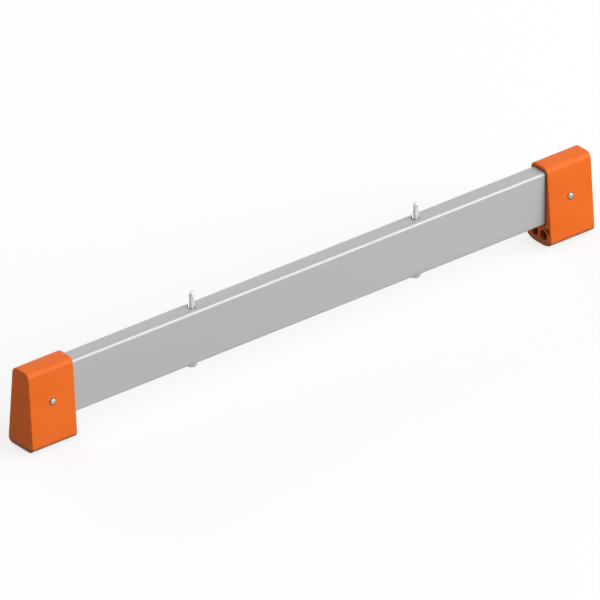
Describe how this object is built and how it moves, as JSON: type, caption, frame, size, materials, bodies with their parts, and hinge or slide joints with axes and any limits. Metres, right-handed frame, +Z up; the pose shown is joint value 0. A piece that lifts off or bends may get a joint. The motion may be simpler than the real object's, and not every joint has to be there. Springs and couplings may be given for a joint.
{
  "type": "stabiliser beam",
  "caption": "Rectangular aluminium cross beam on moulded end feet, with upright bolts that fasten a scaffold or ladder frame to its top.",
  "frame": {"origin": "on the floor, below the middle of the beam", "axes": "+X along the beam, +Y from the front to the back, +Z up along the bolts"},
  "size_m": [0.9, 0.0476, 0.1264],
  "materials": {
    "beam_aluminium": "satin extruded",
    "cap_plastic": "fine moulded texture",
    "fastener_steel": "bright zinc plated"
  },
  "bodies": {
    "root": {"beam_tube": "beam_aluminium", "left_end_cap": "cap_plastic", "right_end_cap": "cap_plastic", "left_bolt": "fastener_steel", "right_bolt": "fastener_steel", "left_bolt_washer": "fastener_steel", "right_bolt_washer": "fastener_steel", "left_front_screw": "fastener_steel", "left_rear_screw": "fastener_steel", "right_front_screw": "fastener_steel", "right_rear_screw": "fastener_steel"}
  },
  "joints": []
}
